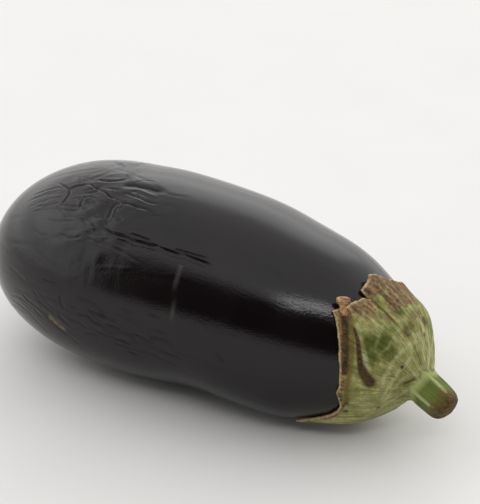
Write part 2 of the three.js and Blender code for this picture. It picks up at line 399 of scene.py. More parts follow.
def carve(points, rise, shade, line, depth, half_width):
    """Press a crease with low lips into a surface's rise, fading at both ends, and shade its bottom."""
    near, distance, along = near_line(points, line, 4.0 * half_width)
    fade = smooth(along, 0.0, FADE_SHARE) * smooth(1.0 - along, 0.0, FADE_SHARE)
    cleft = np.exp(-((distance / half_width) ** CLEFT_SHARPNESS))
    lip = LIP_SHARE * bell(distance - 2.0 * half_width, half_width)
    rise[near] -= depth * fade * (cleft - lip)
    closed = min(max(depth, 0.0) / CLOSED_DEPTH, 1.0)
    shade[near] = np.maximum(shade[near], closed * fade * cleft ** 1.5)


def wobbled(line, draw, size):
    """The line with a small unsteady sway, as a real crease has."""
    sway = draw.normal(0.0, size, line.shape)
    sway[1:-1] = (sway[:-2] + sway[1:-1] + sway[2:]) / 3.0
    return line + sway


def spread(start, end, count, density):
    """Places from start to end, closer together where the density is higher."""
    fine = np.linspace(start, end, 4000)
    total = np.cumsum(density(fine))
    return np.interp(np.linspace(total[0], total[-1], count), total, fine)


def window(values, start, end, soft):
    """1 between start and end, 0 outside, with soft edges."""
    return smooth(values, start - soft, start) * smooth(-values, -end - soft, -end)


FRUIT_ROWS = 286
FRUIT_COLUMNS = 330
LONG_WRINKLES = 170
# Ranges of the long wrinkles: length as a share of the fruit, depth and half width in mm
WRINKLE_LENGTHS = (0.05, 0.16)
WRINKLE_DEPTHS = (0.02, 0.09)
WRINKLE_HALF_WIDTHS = (0.5, 0.9)
WRINKLES_END = 0.84
# Zones of fine creases: middle in pixels, spread along and across their slope in pixels,
# slope and its spread in degrees, count, depth and half width in mm
FINE_CREASE_ZONES = (
    (PUCKER_PLACE, (27, 15), 12, 22, 70, 0.22, 0.42),
    ((112, 326), (42, 10), 21, 6, 110, 0.26, 0.5),
    ((38, 304), (20, 9), 42, 7, 26, 0.22, 0.5),
)
# Depth in mm from which a crease keeps the light out, and the share of its gloss that it then loses
CLOSED_DEPTH = 0.4
CLOSED_LOSS = 0.85
# How far down the skin faces where its gloss is turned down as painted shade under the fruit, and the share
# of its gloss that it loses
UNDERSIDE_SHADE_FACING = (0.0, 0.5)
UNDERSIDE_SHADE_LOSS = 0.4
# A thin pale line painted along the crease down the front: a painted highlight
CREASE_GLINT_LINE = ((181, 266), (177, 279), (174.5, 293), (173, 308), (172.5, 320))
CREASE_GLINT_HALF_WIDTH = 0.4
CREASE_GLINT_PALENESS = 0.35
SCAR_DEPTH = 0.2
BLOSSOM_RADIUS = 3.4
BLOSSOM_DEPTH = 0.9
# Waves of the skin: count, shortest and longest in mm, height in mm, pace along X, Y and Z
LOW_WAVES = (14, (28.0, 60.0), 0.05, (0.5, 1.0, 1.0))
PUCKER_WAVES = (16, (4.0, 12.0), 0.045, (0.8, 1.0, 1.0))
STREAK_WAVES = (12, (2.5, 6.0), 0.008, (1.0, 0.12, 0.12))


def fruit_density_along(polar):
    return 1.0 + 2.6 * window(polar, 0.36, 1.42, 0.12) + 0.7 * window(polar, 0.2, 1.8, 0.2)


def fruit_density_round(round_angle):
    return 1.0 + 1.9 * window(round_angle, 1.2, 2.5, 0.1) + 1.3 * window(round_angle, 1.1, 4.0, 0.2)


def surface_waves(points, draw, count, lengths, height, slender):
    """Uneven low waves. slender scales the waves' pace along X, Y and Z."""
    rise = np.zeros(len(points))
    for _ in range(count):
        wave = draw.normal(0.0, 1.0, 3)
        wave *= np.array(slender) / np.linalg.norm(wave)
        wave *= FULL_TURN / draw.uniform(*lengths)
        rise += height * np.sin(points @ wave + draw.uniform(0.0, FULL_TURN))
    return rise


def long_wrinkles(points, rise, shade, draw):
    """Faint wrinkles along the fruit, all round it, closer and deeper towards the blossom end."""
    for _ in range(LONG_WRINKLES):
        along = 0.04 + 0.7 * draw.random() ** 1.5
        length = draw.uniform(*WRINKLE_LENGTHS)
        side = draw.uniform(0.0, FULL_TURN)
        drift = draw.normal(0.0, 0.12)
        wave = draw.normal(0.0, 0.03, 4)
        depth = draw.uniform(*WRINKLE_DEPTHS) * (1.0 - 0.7 * along)
        half_width = draw.uniform(*WRINKLE_HALF_WIDTHS)
        place = np.linspace(along, min(along + length, WRINKLES_END), 4)
        round_angle = side + drift * np.linspace(0.0, 1.0, 4) + wave
        line = smooth_line(skin_point(np.arccos(1.0 - 2.0 * place), round_angle), 1.5)
        carve(points, rise, shade, line, depth, half_width)


def fine_creases(points, rise, shade, tree, draw):
    """Short fine creases scattered over the puckered skin and the lower side, most of them lengthwise."""
    for place, spread_out, slope, slope_spread, count, depth, half_width in FINE_CREASE_ZONES:
        onward = np.array([math.cos(math.radians(slope)), math.sin(math.radians(slope))])
        across = np.array([-onward[1], onward[0]])
        for _ in range(count):
            offset = draw.normal(0.0, 1.0, 2) * spread_out
            middle = np.array(place) + offset[0] * onward + offset[1] * across
            angle = math.radians(draw.normal(slope, slope_spread))
            half = draw.uniform(4.0, 13.0) * np.array([math.cos(angle), math.sin(angle)])
            sag = np.array([0.0, draw.normal(0.0, 1.5)])
            hits = on_surface(tree, (middle - half, middle + sag, middle + half))
            if len(hits) == 3:
                line = wobbled(smooth_line(hits), draw, 0.15)
                width = draw.uniform(0.85, 1.15) * half_width
                carve(points, rise, shade, line, draw.uniform(-0.4, 1.0) * depth, width)


def make_fruit():
    draw = np.random.default_rng(SEED)
    polar = spread(0.0, math.pi, FRUIT_ROWS + 2, fruit_density_along)[1:-1]
    round_angle = spread(0.0, FULL_TURN, FRUIT_COLUMNS + 1, fruit_density_round)[:-1]
    polar_grid, round_grid = np.meshgrid(polar, round_angle, indexing="ij")
    grid = skin_point(polar_grid, round_grid)
    normals = skin_normal(polar_grid, round_grid).reshape(-1, 3)
    blossom_end = skin_point(np.array(0.0), np.array(0.0))
    stem_end = skin_point(np.array(math.pi), np.array(0.0))
    points, faces = closed_form(blossom_end, grid, stem_end)
    tree = BVHTree.FromPolygons(points.tolist(), faces)
    flat = grid.reshape(-1, 3)
    rise = surface_waves(flat, draw, *LOW_WAVES)
    pucker = bell(away(flat, on_surface(tree, (PUCKER_PLACE,))[0]), PUCKER_REACH)
    rise += pucker * surface_waves(flat, draw, *PUCKER_WAVES)
    streaked = bell(away(flat, on_surface(tree, (STREAK_PLACE,))[0]), STREAK_REACH)
    rise += streaked * surface_waves(flat, draw, *STREAK_WAVES)
    shade = np.zeros(len(flat))
    long_wrinkles(flat, rise, shade, draw)
    for depth, half_width, pixels in CREASES:
        line = wobbled(smooth_line(on_surface(tree, pixels)), draw, 0.35 * min(half_width, 0.6))
        carve(flat, rise, shade, line, depth, half_width)
    fine_creases(flat, rise, shade, tree, draw)
    scar = line_mark(flat, smooth_line(on_surface(tree, SCAR_LINE)), SCAR_HALF_WIDTH)
    rise -= SCAR_DEPTH * scar
    # Painted highlight: a pale line along the crease down the front
    crease_glint = line_mark(flat, smooth_line(on_surface(tree, CREASE_GLINT_LINE)), CREASE_GLINT_HALF_WIDTH)
    # Painted shade: the gloss is turned down on the down-facing skin and in closed creases
    underside_shade = smooth(-normals[:, 2], *UNDERSIDE_SHADE_FACING)
    shine = (1.0 - UNDERSIDE_SHADE_LOSS * underside_shade) * (1.0 - CLOSED_LOSS * shade)
    blossom = bell(away(flat, blossom_end), BLOSSOM_RADIUS)
    rise -= BLOSSOM_DEPTH * blossom
    flat = flat + normals * rise[:, None]
    flat[:, 2] = np.maximum(flat[:, 2], 0.0)
    dimple = np.array([BLOSSOM_DEPTH, 0.0, 0.0])
    points = np.concatenate([[blossom_end + dimple], flat, [stem_end]])
    marks = {
        "scar": np.concatenate([[0.0], scar, [0.0]]),
        "crease_glint": np.concatenate([[0.0], CREASE_GLINT_PALENESS * crease_glint, [0.0]]),
        "shine": np.concatenate([[1.0], shine, [1.0]]),
        "blossom": np.concatenate([[1.0], blossom, [0.0]]),
    }
    return make_mesh("fruit_skin", points, faces, marks)


def ragged(degrees, draw, knots, size):
    """Uneven torn edge: straight runs between random heights."""
    heights = draw.normal(0.0, size, knots)
    return np.interp(degrees, np.linspace(0.0, 360.0, knots + 1), np.append(heights, heights[0]))


def rim_from_end(round_angle):
    """How far from the fruit's end the calyx reaches at an angle, in radians."""
    degrees = np.degrees(round_angle) % 360.0
    angles = [angle for angle, _ in RIM_POINTS]
    reaches = [reach for _, reach in RIM_POINTS]
    draw = np.random.default_rng(SEED + 2)
    reach = np.interp(degrees, angles, reaches, period=360.0)
    tears = ragged(degrees, draw, 110, 0.0011) + ragged(degrees, draw, 271, 0.0009)
    reach = reach + tears * (1.0 - 0.9 * bell(turn_between(degrees, CLEAN_EDGE_MIDDLE), CLEAN_EDGE_WIDTH))
    return math.pi - np.arccos(1.0 - 2.0 * reach)


def map_place(from_end, round_angle):
    """A place on the fruit's end as a flat map."""
    return np.stack([from_end * np.cos(round_angle), from_end * np.sin(round_angle)], axis=-1)


NECK_PLACE = map_place(np.array(NECK_FROM_END), np.array(NECK_ROUND))


def calyx_place(share, round_angle):
    """Polar and round angle of a place between the neck's middle (share 0) and the rim (share 1)."""
    rim = map_place(rim_from_end(round_angle), round_angle)
    place = NECK_PLACE + (rim - NECK_PLACE) * np.asarray(share)[..., None]
    return math.pi - np.linalg.norm(place, axis=-1), np.arctan2(place[..., 1], place[..., 0])


def curl_rise(share, degrees):
    rise = sum(lift * bell(turn_between(degrees, middle), width) for middle, width, lift in CURLS)
    return rise * smooth(share, CURL_START, 1.0) ** 2


def rib_rise(share, degrees):
    rise = np.max([bell(turn_between(degrees, middle), RIB_WIDTH) for middle in LOBE_MIDDLES], axis=0)
    return RIB_HEIGHT * rise * (1.0 - share)


def calyx_thickness(share, degrees):
    middle, width, place, reach, rise = SHOULDER
    grown = RIM_THICKNESS + (BODY_THICKNESS - RIM_THICKNESS) * smooth(1.0 - share, 0.0, THICKNESS_RUN)
    thinned = NECK_THINNING * smooth(1.0 - share, THICKNESS_RUN, 1.0 - NECK_SHARE)
    return grown - thinned + rise * bell(turn_between(degrees, middle), width) * bell(share - place, reach)


NECK_POLAR = np.array(math.pi - NECK_FROM_END)
NECK_CENTRE = lifted_point(NECK_POLAR, np.array(NECK_ROUND), NECK_RISE)
STEM_ROOT_DIRECTION = unit(skin_normal(NECK_POLAR, np.array(NECK_ROUND)) + STEM_LEAN)
STEM_TIP_DIRECTION = unit(STEM_ROOT_DIRECTION + STEM_BEND)


def section_points(centre, normal, radius, round_angle):
    """A ridged section across the stem."""
    across = unit(np.array([0.0, 1.0, 0.0]) - normal[1] * normal)
    upward = np.cross(normal, across)
    ridged = radius * (1.0 + RIDGE_SHARE * np.cos(STEM_RIDGES * (round_angle - FIRST_RIDGE)))
    outward = np.cos(round_angle)[:, None] * across + np.sin(round_angle)[:, None] * upward
    return centre + outward * ridged[:, None]


CALYX_COLUMNS = 480
CALYX_INNER_ROWS = 12
CALYX_EDGE_ROWS = 4
CALYX_OUTER_ROWS = 72
CALYX_NECK_ROWS = 14
NECK_UP_STEM = 2.2
NECK_SUNK = 0.25
LEAF_RADIUS = 26.0
LEAF_RUN = 34.0


def calyx_density(round_angle):
    return 1.0 + 0.8 * window(round_angle, 1.4, 4.1, 0.3)


def leaf_place(shares, degrees, stretch):
    """Coordinates in mm that follow the fibres: round the calyx, and along them shortened by stretch."""
    angle = np.radians(degrees)
    return np.stack([
        LEAF_RADIUS * np.cos(angle), LEAF_RADIUS * np.sin(angle), LEAF_RUN * shares / stretch], axis=-1)


def fibre_noise(places, size):
    return np.array([noise.fractal(Vector(place / size), 1.0, 2.0, 3) for place in places])


def calyx_rows(round_angle, degrees):
    """Rings of the calyx: under side out to the rim, round the edge, back over the top, up to the neck."""
    shares = list(np.linspace(0.0, 1.0, CALYX_INNER_ROWS + 1)[1:])
    lifts = [0.0] * CALYX_INNER_ROWS
    for step in np.linspace(0.0, 1.0, CALYX_EDGE_ROWS + 2)[1:-1]:
        shares.append(1.0 + 0.012 * math.sin(math.pi * step))
        lifts.append(step)
    shares.extend(np.linspace(1.0, NECK_SHARE, CALYX_OUTER_ROWS))
    lifts.extend([1.0] * CALYX_OUTER_ROWS)
    rows = []
    for share, lift in zip(shares, lifts):
        held = min(share, 1.0)
        body = calyx_thickness(held, degrees) + rib_rise(held, degrees)
        polar, side = calyx_place(np.full(len(degrees), share), round_angle)
        rows.append(lifted_point(polar, side, SKIN_GAP + curl_rise(held, degrees) + lift * body))
    ring_centre = NECK_CENTRE + STEM_ROOT_DIRECTION * NECK_UP_STEM
    stem_share = NECK_UP_STEM / (STEM_ROOT_RUN + STEM_TIP_RUN)
    ring_radius = np.interp(stem_share, *zip(*STEM_PROFILE)) - NECK_SUNK
    neck_ring = section_points(ring_centre, STEM_ROOT_DIRECTION, ring_radius, round_angle)
    last_row = rows[-1]
    heading = unit(rows[-1] - rows[-3])
    span = np.linalg.norm(neck_ring - last_row, axis=1, keepdims=True)
    pull_start = last_row + heading * span * 0.45
    pull_end = neck_ring - STEM_ROOT_DIRECTION * span * 0.3
    for share in np.linspace(0.0, 1.0, CALYX_NECK_ROWS + 1)[1:]:
        rest = 1.0 - share
        rows.append(rest ** 3 * last_row + 3 * rest ** 2 * share * pull_start
                    + 3 * rest * share ** 2 * pull_end + share ** 3 * neck_ring)
        shares.append(NECK_SHARE * (1.0 - 0.5 * share))
        lifts.append(1.0)
    return np.array(rows), np.array(shares), np.array(lifts), ring_centre


def line_mark(flat, line, half_width):
    """1 on a line, falling off beside it."""
    mark = np.zeros(len(flat))
    near, distance, along = near_line(flat, line, 3.0 * np.max(half_width))
    width = np.interp(along, np.linspace(0.0, 1.0, np.size(half_width)), np.atleast_1d(half_width))
    mark[near] = bell(distance, width)
    return mark


def make_calyx():
    draw = np.random.default_rng(SEED + 3)
    round_angle = spread(0.0, FULL_TURN, CALYX_COLUMNS + 1, calyx_density)[:-1]
    degrees = np.degrees(round_angle)
    grid, shares, lifts, ring_centre = calyx_rows(round_angle, degrees)
    start = lifted_point(NECK_POLAR, np.array(NECK_ROUND), SKIN_GAP)
    points, faces = closed_form(start, grid, ring_centre)
    tree = BVHTree.FromPolygons(points.tolist(), faces)
    flat = grid.reshape(-1, 3)
    share_at = np.repeat(shares, CALYX_COLUMNS)
    lift_at = np.repeat(lifts, CALYX_COLUMNS)
    degrees_at = np.tile(degrees, len(shares))
    fibres = leaf_place(share_at, degrees_at, 5.0)
    rise = 0.16 * fibre_noise(fibres, 2.6) + 0.10 * fibre_noise(flat, 3.5)
    vein = np.zeros(len(flat))
    for height, half_width, paleness, pixels in CALYX_FOLDS:
        fold = line_mark(flat, wobbled(smooth_line(on_surface(tree, pixels)), draw, 0.25), 1.8 * half_width)
        rise += height * fold
        vein = np.maximum(vein, paleness * fold)
    for pixel, half_width, paleness in PALE_PATCHES:
        vein = np.maximum(vein, paleness * bell(away(flat, on_surface(tree, (pixel,))[0]), half_width))
    yellow = line_mark(flat, smooth_line(on_surface(tree, YELLOW_STRIP)), YELLOW_HALF_WIDTH)
    rise += YELLOW_RISE * yellow
    band = line_mark(flat, smooth_line(on_surface(tree, BROWN_BAND)), BROWN_HALF_WIDTH)
    rise -= BROWN_DEPTH * band
    streak = line_mark(flat, smooth_line(on_surface(tree, STREAK)), np.array(STREAK_HALF_WIDTHS))
    rise -= STREAK_DEPTH * streak
    hollow = np.zeros(len(flat))
    for pixel, half_width, depth in HOLLOWS:
        sunk = bell(away(flat, on_surface(tree, (pixel,))[0]), half_width)
        rise -= depth * sunk
        hollow = np.maximum(hollow, sunk)
    uneven = fibre_noise(flat, 1.6)
    stain = np.maximum(streak, 0.9 * band)
    dash = line_mark(flat, smooth_line(on_surface(tree, STAIN_DASH)), STAIN_DASH_HALF_WIDTH)
    stain = np.maximum(stain, 0.8 * dash)
    for pixel, half_width, strength in STAINS:
        gap = away(flat, on_surface(tree, (pixel,))[0]) + 0.5 * half_width * uneven
        stain = np.maximum(stain, strength * bell(gap, half_width))
    ring_gap = away(flat, on_surface(tree, (RING_PLACE,))[0]) - RING_RADIUS + 0.5 * uneven
    stain = np.maximum(stain, 0.45 * bell(ring_gap, RING_HALF_WIDTH))
    dry_reach = DRY_RIM + sum(
        reach * bell(turn_between(degrees_at, middle), width) for middle, width, reach in DRY_LOBES)
    dry_reach = dry_reach * (1.0 + 0.8 * fibre_noise(flat, 5.0))
    dry = 1.0 - smooth(1.0 - share_at, 0.3 * dry_reach, 1.3 * dry_reach + 0.01)
    # edge marks the rim's thickness and lip, where the material paints a cream highlight of the lit edge
    edge = np.where(lift_at < 1.0, 1.0, bell((1.0 - share_at) * LEAF_RUN, EDGE_HALF_WIDTH))
    polar, side = calyx_place(np.minimum(share_at, 1.0), np.radians(degrees_at))
    inside_rim = (lift_at >= 1.0) * smooth(1.0 - share_at, 0.0, 0.03)
    fade = inside_rim * smooth(share_at, 0.5 * NECK_SHARE, NECK_SHARE)
    flat = flat + skin_normal(polar, side) * (rise * fade)[:, None]
    points = np.concatenate([points[:1], flat, points[-1:]])
    marks = {"fibre": np.concatenate([fibres[:1], fibres, fibres[-1:]])}
    named = {"vein": vein, "stain": stain, "dry": dry, "edge": edge, "hollow": hollow, "yellow": yellow}
    for name, values in named.items():
        marks[name] = np.concatenate([[0.0], values, [0.0]])
    return make_mesh("calyx_leaf", points, faces, marks)


CURL_COLUMNS = 28
# Dried tip from root to rolled end: rise off the calyx, sway to the left, half width, half depth, in mm
CURL_SECTIONS = (
    (-0.8, 0.0, 1.5, 0.8), (0.8, 0.1, 1.3, 0.7), (2.0, 0.3, 1.1, 0.7), (3.0, 0.5, 1.3, 0.8),
    (3.9, 0.6, 2.0, 1.1), (4.7, 0.6, 2.5, 1.4), (5.5, 0.5, 2.3, 1.3), (6.0, 0.5, 1.4, 0.8),
)


def make_dried_tip(calyx):
    """The tip of the front lobe, dried and rolled up. It is its own small solid, rooted in the lobe."""
    mesh_points = [vertex.co / MM for vertex in calyx.data.vertices]
    tree = BVHTree.FromPolygons(mesh_points, [list(face.vertices) for face in calyx.data.polygons])
    root = on_surface(tree, (TIP_ROOT,))[0]
    rows = np.array(CURL_SECTIONS)
    fine = np.linspace(0.0, len(rows) - 1.0, 26)
    rises, sways, widths, depths = [np.interp(fine, np.arange(len(rows)), column) for column in rows.T]
    round_angle = np.linspace(0.0, FULL_TURN, CURL_COLUMNS, endpoint=False)
    upward = unit(0.75 * VIEW_UP + 0.25 * VIEW_BACK)
    sideways = -VIEW_RIGHT
    facing = np.cross(sideways, upward)
    grid = []
    for rise, sway, width, depth in zip(rises, sways, widths, depths):
        centre = root + upward * rise + sideways * sway
        crinkle = 1.0 + 0.12 * np.sin(3.0 * round_angle + rise)
        crinkle += 0.06 * np.sin(7.0 * round_angle + 2.0 * rise)
        across = np.cos(round_angle)[:, None] * sideways * width
        through = np.sin(round_angle)[:, None] * facing * depth
        grid.append(centre + (across + through) * crinkle[:, None])
    grid = np.array(grid)
    top = grid[-1].mean(axis=0) + upward * 0.3
    points, faces = closed_form(grid[0].mean(axis=0), grid, top)
    return make_mesh("dried_tip", points, faces, {})


STEM_COLUMNS = 180
STEM_ROWS = 72
STEM_SUNK = 1.2


def make_stem():
    root = NECK_CENTRE - STEM_ROOT_DIRECTION * STEM_SUNK
    bend = NECK_CENTRE + STEM_ROOT_DIRECTION * STEM_ROOT_RUN
    tip = bend + STEM_TIP_DIRECTION * STEM_TIP_RUN
    round_angle = np.linspace(0.0, FULL_TURN, STEM_COLUMNS, endpoint=False)
    shares = 1.0 - (1.0 - np.linspace(0.0, 1.0, STEM_ROWS + 1)[:-1]) ** 1.5
    profile_shares, profile_radii = smooth_line(STEM_PROFILE, 0.05).T
    rows = []
    for share in shares:
        rest = 1.0 - share
        centre = rest ** 2 * root + 2.0 * rest * share * bend + share ** 2 * tip
        tangent = unit(rest * (bend - root) + share * (tip - bend))
        radius = np.interp(share, profile_shares, profile_radii)
        rows.append(section_points(centre, tangent, radius, round_angle))
    grid = np.array(rows)
    points, faces = closed_form(root, grid, tip)
    flat = grid.reshape(-1, 3)
    share_at = np.repeat(shares, STEM_COLUMNS)
    degrees_at = np.tile(np.degrees(round_angle), STEM_ROWS)
    ridge = 0.5 + 0.5 * np.cos(STEM_RIDGES * (np.radians(degrees_at) - FIRST_RIDGE))
    angle = np.radians(degrees_at)
    fibres = np.stack([7.0 * np.cos(angle), 7.0 * np.sin(angle), 3.0 * share_at], axis=-1)
    axis_place = (1 - share_at)[:, None] * root + share_at[:, None] * tip
    rise = 0.18 * fibre_noise(fibres, 1.6) + 0.3 * smooth(share_at, 0.5, 0.9) * fibre_noise(flat, 2.5)
    outward = unit(flat - axis_place)
    flat = flat + outward * rise[:, None]
    points = np.concatenate([points[:1], flat, points[-1:]])
    marks = {
        "ridge": np.concatenate([[0.0], ridge, [0.0]]),
        "along": np.concatenate([[0.0], share_at, [1.0]]),
        "fibre": np.concatenate([fibres[:1], fibres, fibres[-1:]]),
    }
    return make_mesh("cut_stem", points, faces, marks)


def linear(hex_colour):
    """Linear colour of an sRGB hex value."""
    channels = [int(hex_colour[place:place + 2], 16) / 255.0 for place in (1, 3, 5)]
    return [c / 12.92 if c <= 0.04045 else ((c + 0.055) / 1.055) ** 2.4 for c in channels] + [1.0]


def add_node(tree, kind, inputs=None, **settings):
    """Add a shader node, set its properties, and set or link its inputs."""
    node = tree.nodes.new("ShaderNode" + kind)
    for name, value in settings.items():
        setattr(node, name, value)
    for name, value in (inputs or {}).items():
        if isinstance(value, bpy.types.NodeSocket):
            tree.links.new(value, node.inputs[name])
        else:
            node.inputs[name].default_value = value
    return node


def new_material(name):
    material = bpy.data.materials.new(name)
    material.use_nodes = True
    material.node_tree.nodes.clear()
    return material, material.node_tree


def per_metre(size_mm):
    """Texture scale that gives features of this size."""
    return 1.0 / (size_mm * MM)


def eggplant_skin():
    """Waxy eggplant skin: nearly black and glossy, with faint pores, duller as painted shade in creases and
    on its underside.
    """
    material, tree = new_material("waxy_eggplant_skin")
    place = add_node(tree, "TexCoord").outputs["Object"]
    cloud = add_node(tree, "TexNoise", {"Vector": place, "Scale": per_metre(30), "Detail": 3.0})
    tone = add_node(tree, "Mix", {0: cloud.outputs["Fac"], 6: linear("#090607"), 7: linear("#140e0f")},
                    data_type="RGBA")
    scar = add_node(tree, "Attribute", attribute_name="scar")
    blossom = add_node(tree, "Attribute", attribute_name="blossom")
    corky = add_node(tree, "TexNoise", {"Vector": place, "Scale": per_metre(1.5), "Detail": 4.0})
    cork = add_node(tree, "Mix", {0: corky.outputs["Fac"], 6: linear("#433a31"), 7: linear("#7d6f5c")},
                    data_type="RGBA")
    scarred = add_node(tree, "Math", {0: scar.outputs["Fac"], 1: blossom.outputs["Fac"]},
                       operation="MAXIMUM")
    patchy = add_node(tree, "Math", {0: scarred.outputs[0], 1: corky.outputs["Fac"]}, operation="MULTIPLY")
    cover = add_node(tree, "MapRange", {"Value": patchy.outputs[0], "From Min": 0.2, "From Max": 0.5})
    # Pale grey painted highlight along the crease down the front
    crease_glint = add_node(tree, "Attribute", attribute_name="crease_glint")
    glinted_tone = add_node(tree, "Mix", {0: crease_glint.outputs["Fac"], 6: tone.outputs[2], 7: linear("#5c5856")},
                         data_type="RGBA")
    colour = add_node(tree, "Mix", {0: cover.outputs[0], 6: glinted_tone.outputs[2], 7: cork.outputs[2]},
                      data_type="RGBA")
    gloss = add_node(tree, "TexNoise", {"Vector": place, "Scale": per_metre(14), "Detail": 4.0})
    roughness = add_node(tree, "MapRange", {
        "Value": gloss.outputs["Fac"], "From Min": 0.3, "From Max": 0.7, "To Min": 0.1, "To Max": 0.17})
    dull = add_node(tree, "Mix", {0: cover.outputs[0], 2: roughness.outputs[0], 3: 0.8})
    pores = add_node(tree, "TexNoise", {"Vector": place, "Scale": per_metre(0.6), "Detail": 2.0})
    bump = add_node(tree, "Bump", {"Height": pores.outputs["Fac"], "Strength": 0.3, "Distance": 0.0002})
    # shine carries painted shade: less gloss in closed creases and on the down-facing skin
    shine = add_node(tree, "Attribute", attribute_name="shine")
    level = add_node(tree, "MapRange", {"Value": shine.outputs["Fac"], "To Max": 0.5})
    shader = add_node(tree, "BsdfPrincipled", {
        "Base Color": colour.outputs[2], "Roughness": dull.outputs[0], "Specular IOR Level": level.outputs[0],
        "Normal": bump.outputs[0], "IOR": 1.4})
    add_node(tree, "OutputMaterial", {"Surface": shader.outputs[0]})
    return material


def calyx_leather():
    """Leathery calyx leaf: mottled green fibres, pale veins, brown where it dried, a cream painted highlight
    along the rim, matt with a faint down.
    """
    material, tree = new_material("leathery_calyx_leaf")
    place = add_node(tree, "TexCoord").outputs["Object"]
    along_fibre = add_node(tree, "Attribute", attribute_name="fibre").outputs["Vector"]
    grain = {}
    for name, vector, size_mm, detail, roughness in (
            ("fibre", along_fibre, 1.3, 5.0, 0.65), ("broad", place, 6, 5.0, 0.6),
            ("fine", place, 1.4, 6.0, 0.7), ("ageing", place, 4.5, 6.0, 0.7)):
        pattern = add_node(tree, "TexNoise", {
            "Vector": vector, "Scale": per_metre(size_mm), "Detail": detail, "Roughness": roughness})
        grain[name] = pattern.outputs["Fac"]
    rough = add_node(tree, "Math", {0: grain["fibre"], 1: grain["fine"]}, operation="ADD").outputs[0]
    tone = {}
    for name, pattern, start, end, low, high in (
            ("green", grain["fibre"], 0.32, 0.66, "#757b38", "#adab72"),
            ("brown", rough, 0.78, 1.28, "#3f2a17", "#a08559"),
            ("dark", grain["fine"], 0.36, 0.64, "#2d1f0c", "#5f4926")):
        share = add_node(tree, "MapRange", {"Value": pattern, "From Min": start, "From Max": end}).outputs[0]
        mixed = add_node(tree, "Mix", {0: share, 6: linear(low), 7: linear(high)}, data_type="RGBA")
        tone[name] = mixed.outputs[2]
    # Layers from the ground up: the mark that places it, how a grain breaks it up, that grain,
    # the values between which it sets in, the most that it covers, and its colour
    layers = (
        (None, None, "broad", 0.48, 0.66, 0.75, linear("#68702c")),
        (None, None, "ageing", 0.5, 0.68, 0.8, linear("#a3955d")),
        ("hollow", "MULTIPLY", "broad", 0.1, 0.43, 1.0, linear("#505a14")),
        ("vein", "MULTIPLY", "ageing", 0.13, 0.55, 0.7, linear("#c4c093")),
        ("yellow", "MULTIPLY", "fine", 0.1, 0.5, 1.0, linear("#716029")),
        ("dry", "ADD", "ageing", 0.62, 1.3, 1.0, tone["brown"]),
        ("stain", "ADD", "fine", 0.7, 1.15, 1.0, tone["dark"]),
        # The cream of the rim's edge is a painted highlight of the lit edge
        ("edge", "ADD", "fine", 1.15, 1.7, 1.0, linear("#bda97e")),
    )
    layered = tone["green"]
    for name, operation, pattern, start, end, cover, layer in layers:
        broken = grain[pattern]
        if name:
            mark = add_node(tree, "Attribute", attribute_name=name).outputs["Fac"]
            broken = add_node(tree, "Math", {0: mark, 1: broken}, operation=operation).outputs[0]
        share = add_node(tree, "MapRange", {
            "Value": broken, "From Min": start, "From Max": end, "To Max": cover})
        mixed = add_node(tree, "Mix", {0: share.outputs[0], 6: layered, 7: layer}, data_type="RGBA")
        layered = mixed.outputs[2]
    grit = add_node(tree, "MapRange", {
        "Value": rough, "From Min": 0.78, "From Max": 1.25, "To Min": 0.68, "To Max": 1.22})
    colour = add_node(tree, "Mix", {0: 1.0, 6: layered, 7: grit.outputs[0]},
                      data_type="RGBA", blend_type="MULTIPLY")
    bump = add_node(tree, "Bump", {"Height": rough, "Strength": 0.8, "Distance": 0.0007})
    shader = add_node(tree, "BsdfPrincipled", {
        "Base Color": colour.outputs[2], "Roughness": 0.75, "Specular IOR Level": 0.25, "Sheen Weight": 0.04,
        "Normal": bump.outputs[0]})
    add_node(tree, "OutputMaterial", {"Surface": shader.outputs[0]})
    return material


def dried_leaf():
    """Dried leaf tip: crisp orange-brown, lighter and darker in a fine grain."""
    material, tree = new_material("dried_leaf_tip")
    place = add_node(tree, "TexCoord").outputs["Object"]
    fine = add_node(tree, "TexNoise", {"Vector": place, "Scale": per_metre(1.0), "Detail": 5.0})
    grain = add_node(tree, "MapRange", {"Value": fine.outputs["Fac"], "From Min": 0.35, "From Max": 0.65})
    colour = add_node(tree, "Mix", {0: grain.outputs[0], 6: linear("#70492a"), 7: linear("#c39a6a")},
                      data_type="RGBA")
    bump = add_node(tree, "Bump", {"Height": fine.outputs["Fac"], "Strength": 0.6, "Distance": 0.0004})
    shader = add_node(tree, "BsdfPrincipled", {
        "Base Color": colour.outputs[2], "Roughness": 0.75, "Normal": bump.outputs[0]})
    add_node(tree, "OutputMaterial", {"Surface": shader.outputs[0]})
    return material


